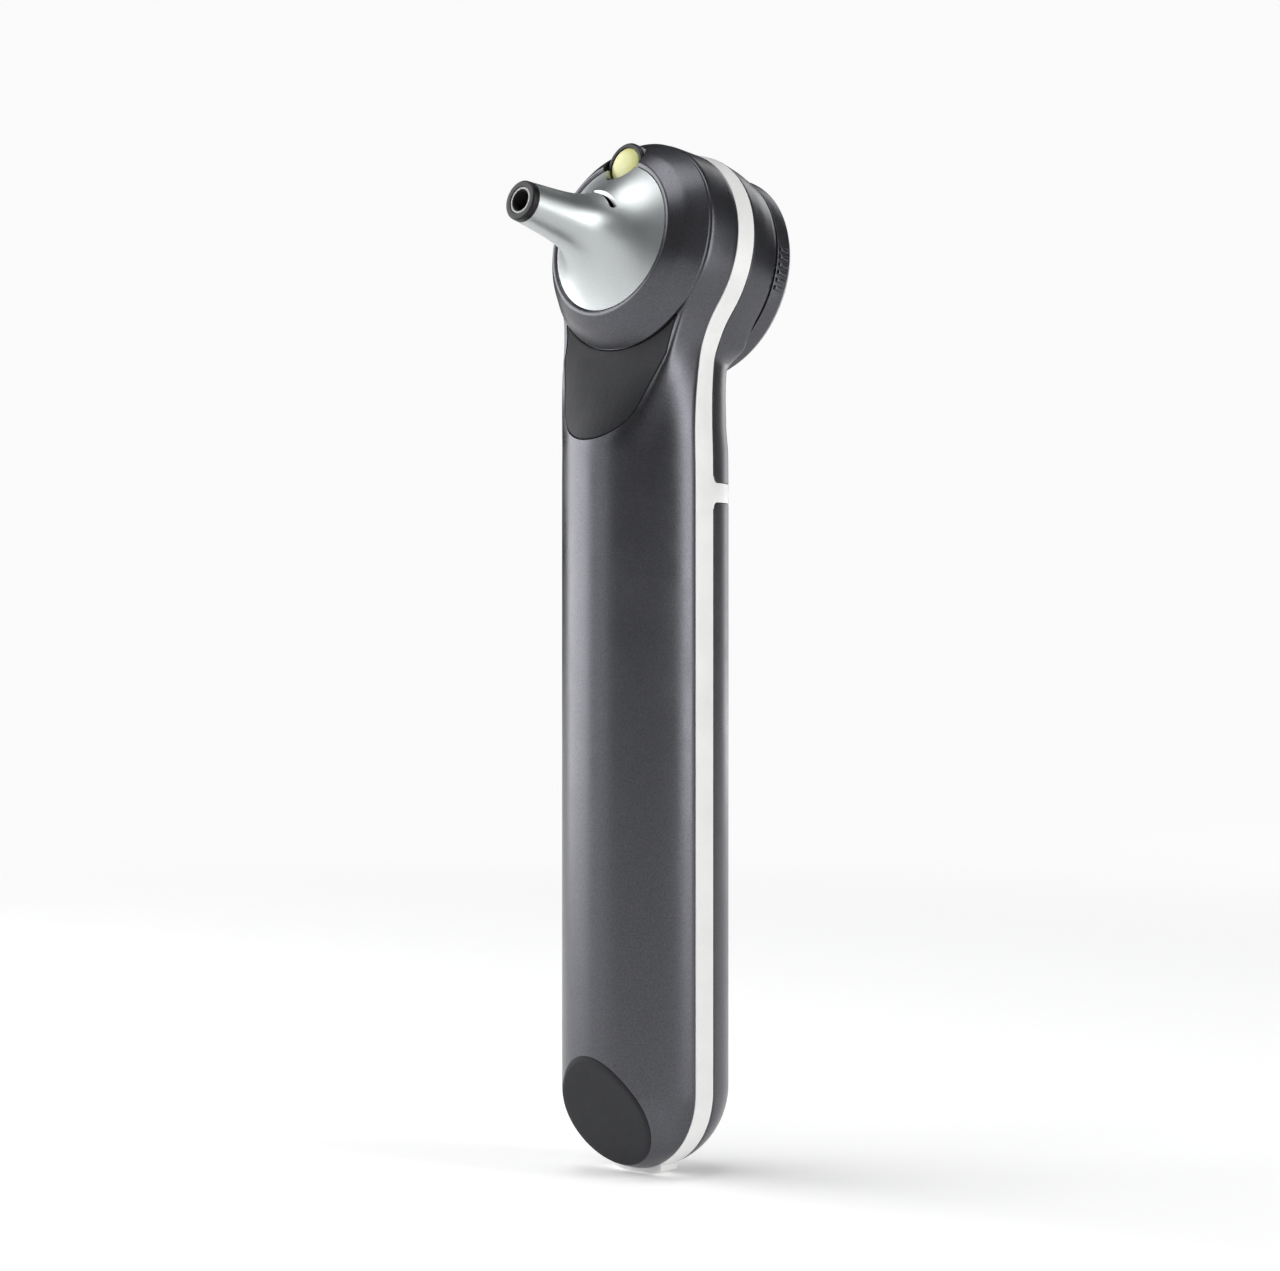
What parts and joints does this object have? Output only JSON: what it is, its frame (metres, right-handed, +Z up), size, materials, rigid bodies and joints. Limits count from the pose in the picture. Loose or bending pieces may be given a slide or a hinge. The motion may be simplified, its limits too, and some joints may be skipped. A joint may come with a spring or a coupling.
{
  "type": "otoscope",
  "caption": "Handheld otoscope with a tilted head, a slim speculum cone, a small examination lamp, a focus dial at the back and a round-ended handle with a charging foot.",
  "frame": {"origin": "middle of the charging foot's lower face, on the handle's axis", "axes": "+Z up the handle, -Y towards the side of the speculum cone, +X to the right seen from the cone side, so that X is the symmetry direction"},
  "size_m": [0.0406, 0.0536, 0.1849],
  "materials": {
    "shell_paint": "dark grey metallic satin paint with fine grain",
    "pad_plastic": "matt dark grey, fine spark-eroded texture",
    "white_plastic": "satin white",
    "cone_metal": "satin blasted silver",
    "black_plastic": "black satin",
    "light_guide": "frosted clear",
    "lamp_metal": "grey satin metal",
    "lamp_phosphor": "pale yellow phosphor under a clear dome",
    "clear_glass": "polished, coated",
    "inner_plastic": "matt black, ribbed",
    "seal_rubber": "matt",
    "steel": "bright",
    "board_green": "solder mask",
    "cell_wrap": "shrink sleeve",
    "contact_gold": "gold plated"
  },
  "bodies": {
    "casing": {"front_shell": "shell_paint", "rear_upper_cover": "shell_paint", "collar_ring": "shell_paint", "base_pad": "pad_plastic", "mid_band": "white_plastic", "charge_contact_block": "white_plastic", "speculum_cone": "cone_metal", "tip_cap": "black_plastic", "tact_switch": "black_plastic", "tip_light_ring": "light_guide", "lamp_barrel": "lamp_metal", "lamp_lens": "lamp_phosphor", "lamp_led": "lamp_phosphor", "main_led": "lamp_phosphor", "cone_seat": "inner_plastic", "optic_tube": "inner_plastic", "battery_carrier": "inner_plastic", "cone_seal": "seal_rubber", "wire_loom": "seal_rubber", "led_heatsink": "steel", "button_spring": "steel", "negative_spring": "steel", "carrier_screw_1": "steel", "carrier_screw_2": "steel", "circuit_board": "board_green", "switch_board": "board_green", "battery_cell": "cell_wrap", "positive_contact": "contact_gold", "charge_pin_1": "contact_gold", "charge_pin_2": "contact_gold"},
    "dial": {"focus_ring": "shell_paint", "eyepiece_bezel": "black_plastic", "eyepiece_window": "clear_glass"},
    "loupe": {"lens_cell": "inner_plastic", "loupe_lens": "clear_glass"},
    "button": {"power_button": "pad_plastic"},
    "cover": {"battery_cover": "shell_paint"}
  },
  "joints": [
    {"name": "focus_turn", "type": "hinge", "parent": "casing", "child": "dial", "pos_m": [0, 0.00014, 0.16527], "axis": [0, 0.9781, -0.2079], "range_deg": [-60, 60]},
    {"name": "loupe_slide", "type": "slide", "parent": "casing", "child": "loupe", "axis": [0, 0.9781, -0.2079], "range_m": [-0.0015, 0.0015]},
    {"name": "button_press", "type": "slide", "parent": "casing", "child": "button", "axis": [0, 0.9781, -0.2079], "range_m": [0, 0.0005], "stiffness_N_per_m": 1200, "springref_m": -0.0006},
    {"name": "cover_off", "type": "slide", "parent": "casing", "child": "cover", "axis": [0, 1, 0], "range_m": [0, 0.03]}
  ],
  "couplings": [
    {"joint": "focus_turn", "follows": "loupe_slide", "rad_per_m": 698.13}
  ]
}
